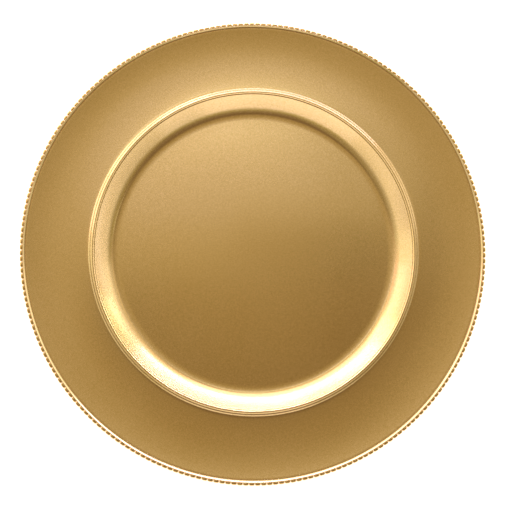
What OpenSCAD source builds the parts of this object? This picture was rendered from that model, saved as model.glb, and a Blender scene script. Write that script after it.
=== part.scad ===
// Charger plate: a wide under-plate with a shallow round well, a fine raised
// ring round the well, a broad gently rising rim and a beaded border.
// The plate stands on z = 0 with its axis on Z.

/* [Plate] */
// Overall diameter across the outermost points of the beads
overall_d = 330; // [305:1:356]
// Thickness of the pressed sheet
sheet_t = 1.6; // [1.2:0.1:2.0]

/* [Well] */
// Diameter of the floor of the well
floor_d = 193.2; // [184:0.2:194]
// How much the middle of the floor stands above its edge
floor_crown = 0.8; // [0:0.1:1.2]
// Angle of the top of the well's wall, in degrees from level
wall_angle = 47.5; // [46:0.5:48]
// Radius of the gentle curve where the floor begins to rise
sweep_r = 20; // [16:0.5:22]
// Radius of the tight curve between that sweep and the wall
cove_r = 5.5; // [4.5:0.1:6.5]
// Radius of the hollow of the wall itself
wall_r = 25; // [20:0.5:28]
// Radius of the rounded shoulder at the top of the wall
shoulder_r = 1.2; // [0.8:0.1:1.6]

/* [Ring] */
// Diameter of the crest of the raised ring round the well
ring_d = 230.2; // [229.8:0.1:232]
// Height of the ring's crest above the fine ledge at the top of the wall
ring_h = 0.8; // [0.7:0.05:0.9]

/* [Rim] */
// Slope where the rim leaves the ring, in degrees
rim_a0 = 0.5; // [0:0.5:3]
// Slope of the rim at its outer edge, in degrees
rim_a1 = 14.5; // [12:0.5:18]
// Depth of the fine seam groove beside the edge band
seam_depth = 0.3; // [0.2:0.05:0.5]

/* [Border] */
// Number of beads round the edge
bead_count = 250; // [200:1:260]
// Diameter of one bead
bead_d = 2.8; // [2.6:0.1:2.9]
// Length of one bead along the edge
bead_l = 3.6; // [3.0:0.1:3.6]
// Width of the smooth edge band seen from above
band_w = 1.8; // [1.7:0.1:2.0]

/* [Foot] */
// Diameter of the middle of the foot ring
foot_d = 176; // [150:1:180]
// Height of the foot ring
foot_h = 2.0; // [1.6:0.1:3]
// Width of the flat face that the plate stands on
foot_w = 2.4; // [1.6:0.1:4]

/* [Hidden] */

$fn = 180;
gold = [0.76, 0.60, 0.35];
gold_band = [0.82, 0.66, 0.40];
gold_bead = [0.88, 0.72, 0.46];
gold_foot = [0.66, 0.52, 0.30];

// main levels and radii
floor_r = floor_d / 2;
floor_z = foot_h + sheet_t;
ring_r = ring_d / 2;
edge_r = overall_d / 2;

// beads hang on the outer face of the band
bead_r = bead_d / 2;
bead_c = edge_r - bead_r;
band_out = edge_r - bead_d + 0.8;
band_in = band_out - band_w;
tongue_r = band_out - 0.7;
seam_r = band_in - 0.2;

// well: crowned floor, gentle sweep, tight cove, hollow wall, upper wall and
// convex shoulder. Every point is [radius, height, slope in degrees]
sweep_a = 11;
cove_a = 34;
lip_a = 20;
hollow_a = 44;
shoulder_end = ring_r - 1.6;
function floor_top(r) = floor_z + floor_crown * (1 - pow(r / floor_r, 2));
// a run of a concave arc from slope a0 to slope a1 that starts at p
function arc_pts(p, rad, a0, a1, n) = [for (i = [1:n]) let (a = a0 + (a1 - a0) * i / n)
    [p[0] + rad * (sin(a) - sin(a0)), p[1] + rad * (cos(a0) - cos(a)), a]];
floor_pts = [for (i = [1:8]) [floor_r * i / 8, floor_top(floor_r * i / 8), 0]];
sweep_pts = arc_pts([floor_r, floor_z], sweep_r, 0, sweep_a, 5);
cove_pts = arc_pts(sweep_pts[4], cove_r, sweep_a, cove_a, 5);
hollow_pts = arc_pts(cove_pts[4], wall_r, cove_a, hollow_a, 5);
wall_end_r = shoulder_end - shoulder_r * (sin(wall_angle) - sin(lip_a));
// the upper wall steepens slowly up to the shoulder
upper_r = (wall_end_r - hollow_pts[4][0]) / (sin(wall_angle) - sin(hollow_a));
upper_pts = arc_pts(hollow_pts[4], upper_r, hollow_a, wall_angle, 4);
wall_end_z = upper_pts[3][1];
wall_pts = concat([[floor_r, floor_z, 0]], sweep_pts, cove_pts, hollow_pts, upper_pts);
wall_n = len(wall_pts) - 1;
lip_z = wall_end_z + shoulder_r * (cos(lip_a) - cos(wall_angle));

shoulder_pts = [for (i = [1:6]) let (a = wall_angle + (lip_a - wall_angle) * i / 6)
    [wall_end_r + shoulder_r * (sin(wall_angle) - sin(a)),
     wall_end_z + shoulder_r * (cos(a) - cos(wall_angle)), a]];

// raised ring: narrow ledge, riser, crest, outward slope, a narrow second
// ledge and slope, and a fillet down to the rim. Each row is [from ring_r, from crest_z]
crest_z = lip_z + ring_h;
ring_steps = [
    [-1.42, 0.02 - ring_h], [-0.75, -0.08], [-0.6, -0.01], [-0.3, 0], [-0.1, -0.02], [0.05, -0.1],
    [1.05, -0.76], [1.2, -0.82], [1.55, -0.86], [1.7, -0.92], [2.7, -1.58], [2.9, -1.66]];
ring_pts = [for (p = ring_steps) [ring_r + p[0], crest_z + p[1], 0]];

// rim: its slope grows evenly from the ring to the edge
rim_r0 = ring_r + 3.6;
rim_z0 = crest_z - 1.72;
rim_len = tongue_r - rim_r0;
function rim_tan(r) = tan(rim_a0) + (tan(rim_a1) - tan(rim_a0)) * (r - rim_r0) / rim_len;
function rim_z(r) = rim_z0 + tan(rim_a0) * (r - rim_r0)
    + (tan(rim_a1) - tan(rim_a0)) * pow(r - rim_r0, 2) / (2 * rim_len);
rim_n = 20;
rim_pts = [for (i = [0:rim_n]) let (r = rim_r0 + (seam_r - 0.14 - rim_r0) * i / rim_n)
    [r, rim_z(r), atan(rim_tan(r))]];

// radii between which the foot ring meets the dish
foot_in = foot_d / 2 - foot_w / 2 - 0.9;
foot_out = foot_d / 2 + foot_w / 2 + 0.9;

// under side of the sheet, square to its slope
function under(p) = [p[0] + sheet_t * sin(p[2]), p[1] - sheet_t * cos(p[2])];
function flat2(p) = [p[0], p[1]];

// tongue of the rim that the band grips
tongue = [[band_in, rim_z(band_in)], [tongue_r, rim_z(tongue_r)],
          [tongue_r, rim_z(tongue_r) - 1.2], [band_in, rim_z(band_in) - 1.2]];

module plate_body() {
    color(gold)
    rotate_extrude()
    polygon(concat(
        [[0, floor_top(0)]],
        [for (i = [0:6]) flat2(floor_pts[i])],
        [for (p = wall_pts) flat2(p)],
        [for (p = shoulder_pts) flat2(p)],
        [for (p = ring_pts) flat2(p)],
        [for (p = rim_pts) flat2(p)],
        // fine seam groove beside the band
        [[seam_r - 0.03, rim_z(seam_r) - seam_depth],
         [band_in - 0.03, rim_z(band_in) - seam_depth],
         tongue[0], tongue[1], tongue[2], tongue[3]],
        [for (i = [rim_n:-1:1]) under(rim_pts[i])],
        [[rim_r0 - 0.6, rim_z0 - sheet_t], [ring_r + 1.4, lip_z - sheet_t + 0.1],
         [ring_r - 0.4, lip_z - sheet_t + 0.35]],
        [for (i = [wall_n:-1:0]) under(wall_pts[i])],
        // the foot stands on the straight run between these two radii
        [for (r = [foot_out, foot_in, foot_in * 0.75, foot_in * 0.5, foot_in * 0.25, 0])
            [r, floor_top(r) - sheet_t]]));
}

module foot_ring() {
    r = foot_d / 2;
    w = foot_w / 2;
    color(gold_foot)
    rotate_extrude()
    polygon([
        [r - w, 0], [r + w, 0],
        [r + w + 0.3, 0.12], [r + w + 0.5, 0.4],
        [foot_out, floor_top(foot_out) - sheet_t], [foot_in, floor_top(foot_in) - sheet_t],
        [r - w - 0.5, 0.4], [r - w - 0.3, 0.12]]);
}

// rounded strip folded over the edge of the rim
band_z = rim_z(band_in);
// inner face: a fine step, a hollow, then a straight slope up to the rounded top
face_a = 44;
face_pts = arc_pts([band_in, band_z + 0.08], 1.35, 12, face_a, 5);
face_end = [band_out - 0.45, face_pts[4][1] + (band_out - 0.45 - face_pts[4][0]) * tan(face_a)];
band_top = face_end[1] + 0.04;
band_low = rim_z(band_in) - 1.9;
bead_z = (band_top + band_low) / 2 + 0.1;
// outer limit of the shelf, and its height at the band above the beads' middle
shelf_r = edge_r - 0.4;
shelf_z = 0.35;
module edge_band() {
    color(gold_band)
    rotate_extrude()
    polygon(concat(
        [[band_in, band_z], [band_in, band_z + 0.08]],
        [for (p = face_pts) flat2(p)],
        [face_end, [band_out - 0.3, band_top], [band_out - 0.12, band_top - 0.03],
         [band_out, band_top - 0.2],
         // sloping shelf that the beads stand on
         [band_out, bead_z + shelf_z], [shelf_r, bead_z + shelf_z - (shelf_r - band_out)],
         [shelf_r - 0.1, bead_z + shelf_z - (shelf_r - band_out) - 0.25],
         [shelf_r - 0.45, band_low], [band_in + 0.3, band_low]],
        [tongue[3], tongue[2], tongue[1]]));
}

// short barrels that stand side by side on the shelf, against the band's outer face
module bead() {
    h = bead_l / 2;
    difference() {
        translate([bead_c, 0, bead_z]) rotate([90, 0, 0])
        rotate_extrude($fn = 28)
        polygon([[0, -h], [bead_r - 0.8, -h], [bead_r - 0.35, 0.22 - h], [bead_r - 0.1, 0.8 - h],
                 [bead_r, 0], [bead_r - 0.1, h - 0.8], [bead_r - 0.35, h - 0.22],
                 [bead_r - 0.8, h], [0, h]]);
        translate([band_out - 4, -3, bead_z - 3]) cube([4, 6, 6]);
        translate([band_out, 0, bead_z + shelf_z]) rotate([0, 45, 0]) translate([-4, -3, -6]) cube([8, 6, 6]);
    }
}
module bead_border() {
    color(gold_bead)
    for (i = [0:bead_count - 1]) rotate([0, 0, 360 * i / bead_count]) bead();
}

plate_body();
foot_ring();
edge_band();
bead_border();
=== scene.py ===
import bpy, bmesh, math
from mathutils import Vector, Matrix


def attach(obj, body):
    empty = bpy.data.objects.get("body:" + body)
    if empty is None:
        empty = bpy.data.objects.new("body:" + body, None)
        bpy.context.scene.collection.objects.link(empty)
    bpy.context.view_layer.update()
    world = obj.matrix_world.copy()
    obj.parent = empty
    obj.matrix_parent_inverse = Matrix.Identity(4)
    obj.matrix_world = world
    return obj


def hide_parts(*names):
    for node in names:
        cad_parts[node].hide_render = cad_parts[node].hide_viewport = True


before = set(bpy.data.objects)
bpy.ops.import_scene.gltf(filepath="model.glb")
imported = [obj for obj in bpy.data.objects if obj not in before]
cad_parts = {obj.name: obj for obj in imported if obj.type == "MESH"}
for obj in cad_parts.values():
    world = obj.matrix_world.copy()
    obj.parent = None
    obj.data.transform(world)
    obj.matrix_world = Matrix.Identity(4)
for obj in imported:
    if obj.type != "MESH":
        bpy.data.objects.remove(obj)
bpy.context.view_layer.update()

MM = 0.001


# ---------------------------------------------------------------- helpers
def arc(cx, cz, r, a0, a1, n):
    """Points on a circle; angles in degrees, 0 along +r, 90 straight up."""
    out = []
    for i in range(n + 1):
        a = math.radians(a0 + (a1 - a0) * i / n)
        out.append((cx + r * math.cos(a), cz + r * math.sin(a)))
    return out


def soften(pts, radii, n=5):
    """Round the corners of a closed outline. radii maps a point's index to its radius."""
    out = []
    m = len(pts)
    for i, p in enumerate(pts):
        r = radii.get(i, 0.0)
        if r <= 0:
            out.append(p)
            continue
        a, b = Vector(pts[i - 1]), Vector(pts[(i + 1) % m])
        c = Vector(p)
        u, v = (a - c), (b - c)
        lu, lv = u.length, v.length
        u.normalize(); v.normalize()
        half = math.acos(max(-1.0, min(1.0, u.dot(v)))) / 2
        cut = min(r / math.tan(half), 0.48 * lu, 0.48 * lv)
        p0, p2 = c + u * cut, c + v * cut
        for k in range(n + 1):
            t = k / n
            q = p0 * (1 - t) ** 2 + c * (2 * t * (1 - t)) + p2 * t ** 2
            out.append((q.x, q.y))
    return out


def lathe(name, pts, seg, sharp=35.0):
    """Turn a closed outline of (radius, height) in mm about Z into a mesh object."""
    clean = []
    for p in pts:
        if not clean or (Vector(p) - Vector(clean[-1])).length > 1e-4:
            clean.append(p)
    if (Vector(clean[0]) - Vector(clean[-1])).length <= 1e-4:
        clean.pop()
    bm = bmesh.new()
    rings = []
    for r, z in clean:
        if r < 1e-6:
            rings.append([bm.verts.new((0, 0, z * MM))])
        else:
            rings.append([bm.verts.new((r * MM * math.cos(2 * math.pi * k / seg),
                                        r * MM * math.sin(2 * math.pi * k / seg), z * MM))
                          for k in range(seg)])
    m = len(rings)
    for i in range(m):
        a, b = rings[i], rings[(i + 1) % m]
        if len(a) == 1 and len(b) == 1:
            continue
        for k in range(seg):
            k2 = (k + 1) % seg
            if len(a) == 1:
                bm.faces.new((a[0], b[k2], b[k]))
            elif len(b) == 1:
                bm.faces.new((a[k], a[k2], b[0]))
            else:
                bm.faces.new((a[k], a[k2], b[k2], b[k]))
    bmesh.ops.recalc_face_normals(bm, faces=bm.faces)
    me = bpy.data.meshes.new(name)
    bm.to_mesh(me)
    bm.free()
    for p in me.polygons:
        p.use_smooth = True
    me.set_sharp_from_angle(angle=math.radians(sharp))
    ob = bpy.data.objects.new(name, me)
    bpy.context.scene.collection.objects.link(ob)
    return ob


# ---------------------------------------------------------------- sizes, mm
FLOOR_R, CROWN, SHEET, FOOT_H = 96.6, 0.8, 1.6, 2.0
FLOOR_Z = FOOT_H + SHEET
SWEEP_R, SWEEP_A, COVE_R, COVE_A, HOLLOW_R, WALL_A = 20.0, 11.0, 5.5, 34.0, 25.0, 44.0
TOP_A, SHOULDER_R, LIP_A = 47.5, 1.2, 20.0
RING_R, RING_H = 115.1, 0.8
EDGE_R, BEAD_R, BEAD_L, BAND_W = 165.0, 1.4, 3.6, 1.8
N_BEADS = 250
BAND_OUT = EDGE_R - 2 * BEAD_R + 0.8
BAND_IN = BAND_OUT - BAND_W
TONGUE_R = BAND_OUT - 0.7
SEAM_R = BAND_IN - 0.2
BEAD_C = EDGE_R - BEAD_R
FOOT_OUT = 88.0 + 1.2 + 0.9
SHELF_R, SHELF_Z = EDGE_R - 0.4, 0.35
RIM_A0, RIM_A1 = 0.5, 14.5


def sn(a): return math.sin(math.radians(a))
def cs(a): return math.cos(math.radians(a))
def tn(a): return math.tan(math.radians(a))


def floor_top(r): return FLOOR_Z + CROWN * (1 - (r / FLOOR_R) ** 2)


def run(p, rad, a0, a1, n):
    """Concave arc from slope a0 to slope a1 that starts at p: (radius, height, slope)."""
    out = []
    for i in range(1, n + 1):
        a = a0 + (a1 - a0) * i / n
        out.append((p[0] + rad * (sn(a) - sn(a0)), p[1] + rad * (cs(a0) - cs(a)), a))
    return out


SH_END = RING_R - 1.6
SWEEP = run((FLOOR_R, FLOOR_Z), SWEEP_R, 0, SWEEP_A, 12)
COVE = run(SWEEP[-1], COVE_R, SWEEP_A, COVE_A, 14)
HOLLOW = run(COVE[-1], HOLLOW_R, COVE_A, WALL_A, 12)
TOP_R = SH_END - SHOULDER_R * (sn(TOP_A) - sn(LIP_A))
# the upper wall steepens slowly up to the shoulder
UPPER_R = (TOP_R - HOLLOW[-1][0]) / (sn(TOP_A) - sn(WALL_A))
UPPER = run(HOLLOW[-1], UPPER_R, WALL_A, TOP_A, 10)
WALL = [(FLOOR_R, FLOOR_Z, 0.0)] + SWEEP + COVE + HOLLOW + UPPER
WALL_END = UPPER[-1]
LIP_Z = WALL_END[1] + SHOULDER_R * (cs(LIP_A) - cs(TOP_A))
CREST = LIP_Z + RING_H
RIM_R0, RIM_Z0 = RING_R + 3.6, CREST - 1.72
RIM_L = TONGUE_R - RIM_R0


def rim_tan(r): return tn(RIM_A0) + (tn(RIM_A1) - tn(RIM_A0)) * (r - RIM_R0) / RIM_L
def rim_z(r): return RIM_Z0 + tn(RIM_A0) * (r - RIM_R0) + (tn(RIM_A1) - tn(RIM_A0)) * (r - RIM_R0) ** 2 / (2 * RIM_L)


BAND_Z = rim_z(BAND_IN)
FACE_A0, FACE_A1, FACE_R, STEP = 12.0, 44.0, 1.35, 0.08
FACE = run((BAND_IN, BAND_Z + STEP), FACE_R, FACE_A0, FACE_A1, 10)
FACE_END = (BAND_OUT - 0.45, FACE[-1][1] + (BAND_OUT - 0.45 - FACE[-1][0]) * tn(FACE_A1))
BAND_TOP = FACE_END[1] + 0.04
BAND_LOW = BAND_Z - 1.9
BEAD_Z = (BAND_TOP + BAND_LOW) / 2 + 0.1


# ---------------------------------------------------------------- camera
RISE = (CREST - 12.77) * MM


def make_camera():
    eye = Vector((-0.03067, -0.0920, 0.7468 + RISE))
    aim = Vector((0.00101, -0.00492, 0.01195 + RISE))
    fwd = (aim - eye).normalized()
    up = Vector((0, 1, 0))
    up = (up - up.dot(fwd) * fwd).normalized()
    right = fwd.cross(up)
    cam = bpy.data.cameras.new("camera")
    cam.sensor_width = 36.0
    cam.lens = 1041.6 * 36.0 / 512.0
    cam.clip_start = 0.01
    cam.clip_end = 20
    ob = bpy.data.objects.new("camera", cam)
    ob.matrix_world = Matrix(((right.x, up.x, -fwd.x, eye.x),
                              (right.y, up.y, -fwd.y, eye.y),
                              (right.z, up.z, -fwd.z, eye.z),
                              (0, 0, 0, 1)))
    bpy.context.scene.collection.objects.link(ob)
    bpy.context.scene.camera = ob


# ---------------------------------------------------------------- pieces
def plate_body():
    top = [(FLOOR_R * i / 12, floor_top(FLOOR_R * i / 12)) for i in range(12)]
    top += [(p[0], p[1]) for p in WALL]
    for i in range(1, 9):
        a = TOP_A + (LIP_A - TOP_A) * i / 8
        top.append((WALL_END[0] + SHOULDER_R * (sn(TOP_A) - sn(a)), WALL_END[1] + SHOULDER_R * (cs(a) - cs(TOP_A))))
    # raised ring: narrow ledge, riser, crest, outward slope, narrow second ledge
    # and slope, and a fillet down to the rim; each corner is worn round
    steps = [(-1.6, -RING_H), (-1.42, 0.02 - RING_H), (-0.7, -0.03), (-0.3, 0.0), (-0.05, -0.03), (1.15, -0.82),
             (1.6, -0.86), (2.8, -1.64), (3.6, -1.72)]
    steps = [Vector((RING_R + a, CREST + b)) for a, b in steps]
    for p, c, q in zip(steps[:-2], steps[1:-1], steps[2:]):
        for to, sign in ((p, 1), (q, -1)):
            gap = (to - c).length
            d = min(0.1, 0.22 * gap)
            u = (to - c) / gap
            for k in ((2.0, 1.0) if sign > 0 else (1.0, 2.0)):
                v = c + u * d * k
                top.append((v.x, v.y))
    top.append((RIM_R0, RIM_Z0))
    n = 32
    r_end = SEAM_R - 0.14
    for i in range(1, n + 1):
        r = RIM_R0 + (r_end - RIM_R0) * i / n
        top.append((r, rim_z(r)))
    seam = [(SEAM_R - 0.1, rim_z(SEAM_R) - 0.03), (SEAM_R - 0.04, rim_z(SEAM_R) - 0.24), (SEAM_R + 0.02, rim_z(SEAM_R) - 0.3),
            (BAND_IN - 0.03, BAND_Z - 0.28)]
    edge = [(BAND_IN + 0.02, BAND_Z - 0.05), (TONGUE_R - 0.02, rim_z(TONGUE_R) - 0.02),
            (TONGUE_R - 0.02, rim_z(TONGUE_R) - 1.18), (BAND_IN, BAND_Z - 1.18)]
    low = []
    for i in range(n, 0, -2):
        r = RIM_R0 + (r_end - RIM_R0) * i / n
        a = math.atan(rim_tan(r))
        low.append((r + SHEET * math.sin(a), rim_z(r) - SHEET * math.cos(a)))
    low.append((RIM_R0 - 0.6, RIM_Z0 - SHEET))
    low.append((RING_R + 1.4, LIP_Z - SHEET + 0.1))
    low.append((RING_R - 0.4, LIP_Z - SHEET + 0.35))
    for p in reversed(WALL[::2]):
        low.append((p[0] + SHEET * sn(p[2]), p[1] - SHEET * cs(p[2])))
    for i in range(8, -1, -1):
        r = FOOT_OUT * i / 8
        low.append((r, floor_top(r) - SHEET))
    return lathe("plate_dish", top + seam + edge + low, 512, sharp=50)


def foot_ring():
    r, w = 88.0, 1.2
    pts = [(r - w, 0), (r + w, 0), (r + w + 0.5, 0.4), (FOOT_OUT, floor_top(FOOT_OUT) - SHEET),
           (r - w - 0.9, floor_top(r - w - 0.9) - SHEET), (r - w - 0.5, 0.4)]
    pts = soften(pts, {0: 0.25, 1: 0.25, 2: 0.6, 5: 0.6}, 5)
    return lathe("foot_hoop", pts, 384, sharp=50)


def edge_band():
    # inner face: a fine step, then a hollow that steepens up to the rounded top
    pts = [(BAND_IN, BAND_Z), (BAND_IN, BAND_Z + STEP)]
    pts += [(p[0], p[1]) for p in FACE]
    pts += [(FACE[-1][0] + (FACE_END[0] - FACE[-1][0]) * t, FACE[-1][1] + (FACE_END[1] - FACE[-1][1]) * t) for t in (0.1, 0.8)]
    k = len(pts)
    pts += [FACE_END, (BAND_OUT - 0.2, BAND_TOP), (BAND_OUT, BAND_TOP - 0.2),
            (BAND_OUT, BEAD_Z + SHELF_Z), (SHELF_R, BEAD_Z + SHELF_Z - (SHELF_R - BAND_OUT)),
            (SHELF_R - 0.1, BEAD_Z + SHELF_Z - (SHELF_R - BAND_OUT) - 0.25),
            (SHELF_R - 0.45, BAND_LOW), (BAND_IN + 0.3, BAND_LOW),
            (BAND_IN, BAND_Z - 1.2), (TONGUE_R, rim_z(TONGUE_R) - 1.2), (TONGUE_R, rim_z(TONGUE_R))]
    pts = soften(pts, {1: 0.04, k: 0.2, k + 1: 0.2, k + 2: 0.2, k + 4: 0.15, k + 5: 0.2, k + 6: 0.2, k + 7: 0.3}, 4)
    return lathe("edge_strip", pts, 720, sharp=50)


def bead_border():
    bm = bmesh.new()
    nu, nv = 24, 16
    flat = BAND_OUT + 0.002 - BEAD_C

    def shape(u, v):
        # short barrel along the edge, with well rounded ends
        e = 0.48
        girth = BEAD_R * math.cos(v) ** e
        y = math.copysign(abs(math.sin(v)) ** e, v) * BEAD_L / 2
        x, z = max(girth * math.cos(u), flat), girth * math.sin(u)
        # stands on the shelf, which slopes down and out at 45 degrees
        dip = (x - flat) + (z - SHELF_Z) - 0.004
        if dip < 0:
            x, z = x - dip / 2, z - dip / 2
        return (x, y, z)

    one = []
    faces = []
    for j in range(1, nv):
        v = -math.pi / 2 + math.pi * j / nv
        for i in range(nu):
            u = 2 * math.pi * i / nu
            one.append(shape(u, v))
    bottom, topv = len(one), len(one) + 1
    one.append((0.0, -BEAD_L / 2, 0.0))
    one.append((0.0, BEAD_L / 2, 0.0))
    for j in range(nv - 2):
        for i in range(nu):
            i2 = (i + 1) % nu
            faces.append((j * nu + i, j * nu + i2, (j + 1) * nu + i2, (j + 1) * nu + i))
    for i in range(nu):
        i2 = (i + 1) % nu
        faces.append((bottom, i2, i))
        faces.append(((nv - 2) * nu + i, (nv - 2) * nu + i2, topv))
    for b in range(N_BEADS):
        t = 2 * math.pi * b / N_BEADS
        c, s = math.cos(t), math.sin(t)
        vs = [bm.verts.new((((BEAD_C + x) * c - y * s) * MM, ((BEAD_C + x) * s + y * c) * MM, (BEAD_Z + z) * MM))
              for x, y, z in one]
        for f in faces:
            bm.faces.new([vs[q] for q in f])
    bmesh.ops.remove_doubles(bm, verts=bm.verts, dist=2e-6)
    bmesh.ops.recalc_face_normals(bm, faces=bm.faces)
    me = bpy.data.meshes.new("bead_row")
    bm.to_mesh(me)
    bm.free()
    for p in me.polygons:
        p.use_smooth = True
    ob = bpy.data.objects.new("bead_row", me)
    bpy.context.scene.collection.objects.link(ob)
    return ob


# ---------------------------------------------------------------- materials
def lacquer(name, base, deep, rough, coat=1.0, coat_rough=0.12, grain=1.0):
    """Metallic-flake lacquer under a clear coat."""
    m = bpy.data.materials.new(name)
    m.use_nodes = True
    nt = m.node_tree
    nt.nodes.clear()
    out = nt.nodes.new("ShaderNodeOutputMaterial")
    bs = nt.nodes.new("ShaderNodeBsdfPrincipled")
    nt.links.new(bs.outputs[0], out.inputs[0])
    bs.inputs["Metallic"].default_value = 1.0
    bs.inputs["Coat Weight"].default_value = coat
    bs.inputs["Coat Roughness"].default_value = coat_rough
    bs.inputs["Coat IOR"].default_value = 1.5
    tc = nt.nodes.new("ShaderNodeTexCoord")

    def noise(scale, detail, rough_=0.5):
        n = nt.nodes.new("ShaderNodeTexNoise")
        n.inputs["Scale"].default_value = scale
        n.inputs["Detail"].default_value = detail
        n.inputs["Roughness"].default_value = rough_
        nt.links.new(tc.outputs["Object"], n.inputs["Vector"])
        return n

    flake = nt.nodes.new("ShaderNodeTexVoronoi")
    flake.inputs["Scale"].default_value = 2600
    nt.links.new(tc.outputs["Object"], flake.inputs["Vector"])
    sep = nt.nodes.new("ShaderNodeSeparateColor")
    nt.links.new(flake.outputs["Color"], sep.inputs[0])
    cloud = noise(900, 3, 0.6)
    mist = noise(14, 2, 0.5)

    # colour: flakes a little lighter or deeper, with soft clouding
    mixa = nt.nodes.new("ShaderNodeMix")
    mixa.data_type = "RGBA"
    mixa.inputs["A"].default_value = (*deep, 1)
    mixa.inputs["B"].default_value = (*base, 1)
    fac = nt.nodes.new("ShaderNodeMath"); fac.operation = "MULTIPLY_ADD"
    fac.inputs[1].default_value = 0.4 * grain
    nt.links.new(sep.outputs[0], fac.inputs[0])
    fac2 = nt.nodes.new("ShaderNodeMath"); fac2.operation = "MULTIPLY_ADD"
    fac2.inputs[1].default_value = 1.4 * grain
    nt.links.new(cloud.outputs["Fac"], fac2.inputs[0])
    fac2.inputs[2].default_value = 0.5 - 0.2 * grain - 0.7 * grain
    nt.links.new(fac2.outputs[0], fac.inputs[2])
    nt.links.new(fac.outputs[0], mixa.inputs["Factor"])
    nt.links.new(mixa.outputs["Result"], bs.inputs["Base Color"])

    # roughness: small change from cloud to cloud
    rr = nt.nodes.new("ShaderNodeMapRange")
    rr.inputs["From Min"].default_value = 0.3
    rr.inputs["From Max"].default_value = 0.7
    rr.inputs["To Min"].default_value = rough - 0.03
    rr.inputs["To Max"].default_value = rough + 0.03
    nt.links.new(mist.outputs["Fac"], rr.inputs["Value"])
    nt.links.new(rr.outputs[0], bs.inputs["Roughness"])

    # flakes lie at slightly different tilts under the smooth coat
    bump = nt.nodes.new("ShaderNodeBump")
    bump.inputs["Strength"].default_value = 0.05 * grain
    bump.inputs["Distance"].default_value = 0.0001
    nt.links.new(cloud.outputs["Fac"], bump.inputs["Height"])
    nt.links.new(bump.outputs[0], bs.inputs["Normal"])
    return m


GOLD = (0.81, 0.525, 0.255)
GOLD_DEEP = (0.63, 0.395, 0.125)


TABLE_GLOW = 0.9   # the table is a lit white panel, so that it stays clean white round the plate


def white_floor():
    s = 6.0
    me = bpy.data.meshes.new("table")
    me.from_pydata([(-s, -s, 0), (s, -s, 0), (s, s, 0), (-s, s, 0)], [], [(0, 1, 2, 3)])
    ob = bpy.data.objects.new("table", me)
    bpy.context.scene.collection.objects.link(ob)
    m = bpy.data.materials.new("table_white")
    m.use_nodes = True
    b = m.node_tree.nodes["Principled BSDF"]
    b.inputs["Base Color"].default_value = (0.9, 0.9, 0.9, 1)
    b.inputs["Roughness"].default_value = 0.6
    b.inputs["Specular IOR Level"].default_value = 0.2
    b.inputs["Emission Color"].default_value = (1, 1, 1, 1)
    b.inputs["Emission Strength"].default_value = TABLE_GLOW
    me.materials.append(m)
    return ob


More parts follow.
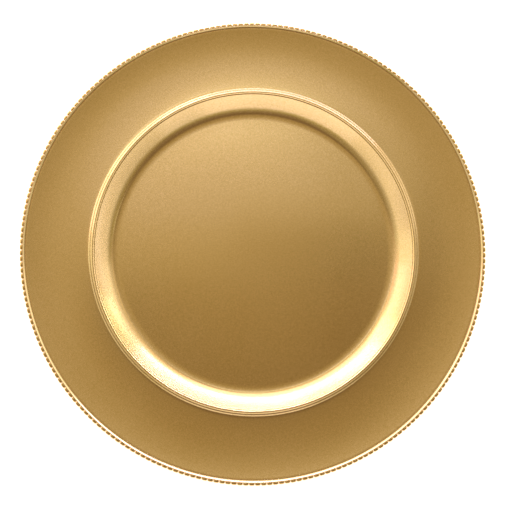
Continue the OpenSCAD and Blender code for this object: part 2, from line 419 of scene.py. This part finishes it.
# ---------------------------------------------------------------- lights
# A room of plain soft panels, in mm: a ceiling at ROOM_H and four walls at ROOM_W.
# face (C ceiling, N E S W walls), two limits along, two limits across or up, brightness
ROOM_H, ROOM_W = 800, 1275
LIGHTS = [
    ("C", -1275, -450, -1275, -150, (0.39, 0.35, 0.20)),
    ("C", -450, 1275, -1275, -150, (0.26, 0.20, 0.12)),
    ("C", -1275, -150, -150, 50, (0.40, 0.35, 0.21)),
    ("C", -150, 150, -150, 50, (0.44, 0.36, 0.18)),
    ("C", 150, 650, -150, 50, (0.33, 0.26, 0.13)),
    ("C", 650, 1275, -150, 50, (0.88, 0.90, 0.63)),
    ("C", -1275, -300, 50, 150, (0.86, 0.74, 0.45)),
    ("C", -300, 0, 50, 150, (0.65, 0.58, 0.32)),
    ("C", 0, 150, 50, 150, (0.49, 0.42, 0.22)),
    ("C", 150, 300, 50, 150, (0.31, 0.28, 0.16)),
    ("C", 300, 650, 50, 150, (0.45, 0.38, 0.19)),
    ("C", 650, 1275, 50, 150, (0.42, 0.39, 0.26)),
    ("C", -1275, 0, 150, 300, (0.81, 0.78, 0.68)),
    ("C", -1275, 0, 300, 400, (1.70, 1.75, 1.70)),
    ("C", -1275, 0, 400, 1275, (1.00, 0.97, 0.67)),
    ("C", 0, 150, 150, 200, (0.74, 0.69, 0.48)),
    ("C", 150, 450, 150, 200, (0.76, 0.69, 0.43)),
    ("C", 450, 1275, 150, 200, (0.41, 0.35, 0.30)),
    ("C", 0, 150, 200, 300, (0.89, 0.87, 0.76)),
    ("C", 0, 150, 300, 1275, (1.28, 1.33, 1.17)),
    ("C", 150, 450, 200, 1275, (0.67, 0.65, 0.51)),
    ("C", 450, 1275, 200, 1275, (0.95, 0.87, 0.63)),
    ("N", -1275, -300, 0, 120, (5.80, 5.00, 8.00)),
    ("N", -300, 1275, 0, 120, (11.40, 11.20, 20.00)),
    ("N", -1275, -300, 120, 250, (5.90, 5.20, 7.20)),
    ("N", -300, 600, 120, 250, (2.20, 2.20, 4.60)),
    ("N", -1275, 600, 250, 800, (2.27, 1.95, 1.91)),
    ("N", 600, 1275, 120, 350, (3.00, 3.00, 4.60)),
    ("N", 600, 1275, 350, 800, (1.10, 1.02, 0.72)),
    ("E", -1275, 600, 0, 120, (1.76, 1.83, 1.83)),
    ("E", 600, 1275, 0, 120, (5.82, 7.06, 6.15)),
    ("E", -1275, 300, 120, 600, (0.25, 0.25, 0.11)),
    ("E", -1275, 300, 600, 800, (0.42, 0.37, 0.14)),
    ("E", 300, 1275, 120, 800, (0.79, 0.79, 0.65)),
    ("S", -1275, 600, 0, 300, (0.98, 0.96, 0.94)),
    ("S", -1275, 600, 300, 600, (1.15, 1.12, 1.12)),
    ("S", 600, 1275, 0, 600, (0.63, 0.64, 0.59)),
    ("S", -1275, 1275, 600, 800, (0.45, 0.47, 0.14)),
    ("W", -1275, 0, 0, 250, (0.02, 0.02, 0.02)),
    ("W", -1275, 0, 250, 400, (0.96, 0.93, 0.71)),
    ("W", -1275, 0, 400, 800, (0.65, 0.65, 0.50)),
    ("W", 0, 300, 0, 800, (0.93, 1.00, 0.74)),
    ("W", 300, 900, 0, 180, (0.73, 0.02, 0.02)),
    ("W", 300, 900, 180, 400, (2.81, 2.41, 2.23)),
    ("W", 300, 900, 400, 800, (1.79, 1.19, 1.18)),
    ("W", 900, 1275, 0, 800, (3.96, 3.23, 2.79)),
]
HORIZON = 0.95   # brightness of the pale horizon, which fades out overhead


def soft_panel(i, face, a0, a1, b0, b1, shine):
    am, bm_ = (a0 + a1) / 2, (b0 + b1) / 2
    place = {"C": (am, bm_, ROOM_H), "N": (am, ROOM_W, bm_), "S": (am, -ROOM_W, bm_),
             "E": (ROOM_W, am, bm_), "W": (-ROOM_W, am, bm_)}[face]
    out = {"C": (0, 0, 1), "N": (0, 1, 0), "S": (0, -1, 0), "E": (1, 0, 0), "W": (-1, 0, 0)}[face]
    ld = bpy.data.lights.new("panel_%s%02d" % (face, i), "AREA")
    ld.shape = "RECTANGLE"
    ld.size, ld.size_y = (a1 - a0) * MM, (b1 - b0) * MM
    top = max(shine)
    ld.energy = math.pi * ld.size * ld.size_y * top
    ld.color = [c / top for c in shine]
    ob = bpy.data.objects.new(ld.name, ld)
    ob.location = Vector(place) * MM
    if face != "C":
        ob.rotation_euler = Vector(out).to_track_quat("Z", "Y").to_euler()
    ob.visible_camera = False
    bpy.context.scene.collection.objects.link(ob)


def studio():
    for i, row in enumerate(LIGHTS):
        soft_panel(i, *row)
    w = bpy.data.worlds.new("studio")
    w.use_nodes = True
    nt = w.node_tree
    bg = nt.nodes["Background"]
    bg.inputs[0].default_value = (1, 1, 1, 1)
    tc = nt.nodes.new("ShaderNodeTexCoord")
    xyz = nt.nodes.new("ShaderNodeSeparateXYZ")
    fade = nt.nodes.new("ShaderNodeMapRange")
    fade.interpolation_type = "SMOOTHSTEP"
    fade.inputs["From Min"].default_value = 0.12
    fade.inputs["From Max"].default_value = 0.42
    fade.inputs["To Min"].default_value = HORIZON
    fade.inputs["To Max"].default_value = 0.0
    nt.links.new(tc.outputs["Generated"], xyz.inputs[0])
    nt.links.new(xyz.outputs["Z"], fade.inputs["Value"])
    nt.links.new(fade.outputs[0], bg.inputs[1])
    bpy.context.scene.world = w
    vs = bpy.context.scene.view_settings
    vs.view_transform = "Standard"
    vs.look = "None"
    vs.exposure = 0
    vs.gamma = 1


# ---------------------------------------------------------------- build
make_camera()
white_floor()
studio()

body_m = lacquer("gold_lacquer", GOLD, GOLD_DEEP, 0.24)
band_m = lacquer("gold_band", (0.82, 0.56, 0.28), (0.72, 0.47, 0.20), 0.14)
bead_m = lacquer("gold_beads", (0.77, 0.49, 0.19), (0.62, 0.37, 0.12), 0.12, coat_rough=0.06)
foot_m = lacquer("gold_foot", (0.62, 0.40, 0.17), (0.55, 0.35, 0.14), 0.36)

for make, node, mat, slot_name in (
        (plate_body, "plate_body", body_m, "gold_lacquer"),
        (foot_ring, "foot_ring", foot_m, "gold_foot"),
        (edge_band, "edge_band", band_m, "gold_band"),
        (bead_border, "bead_border", bead_m, "gold_beads")):
    ob = make()
    ob.data.materials.append(mat)
    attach(ob, "root")
    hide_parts(node)
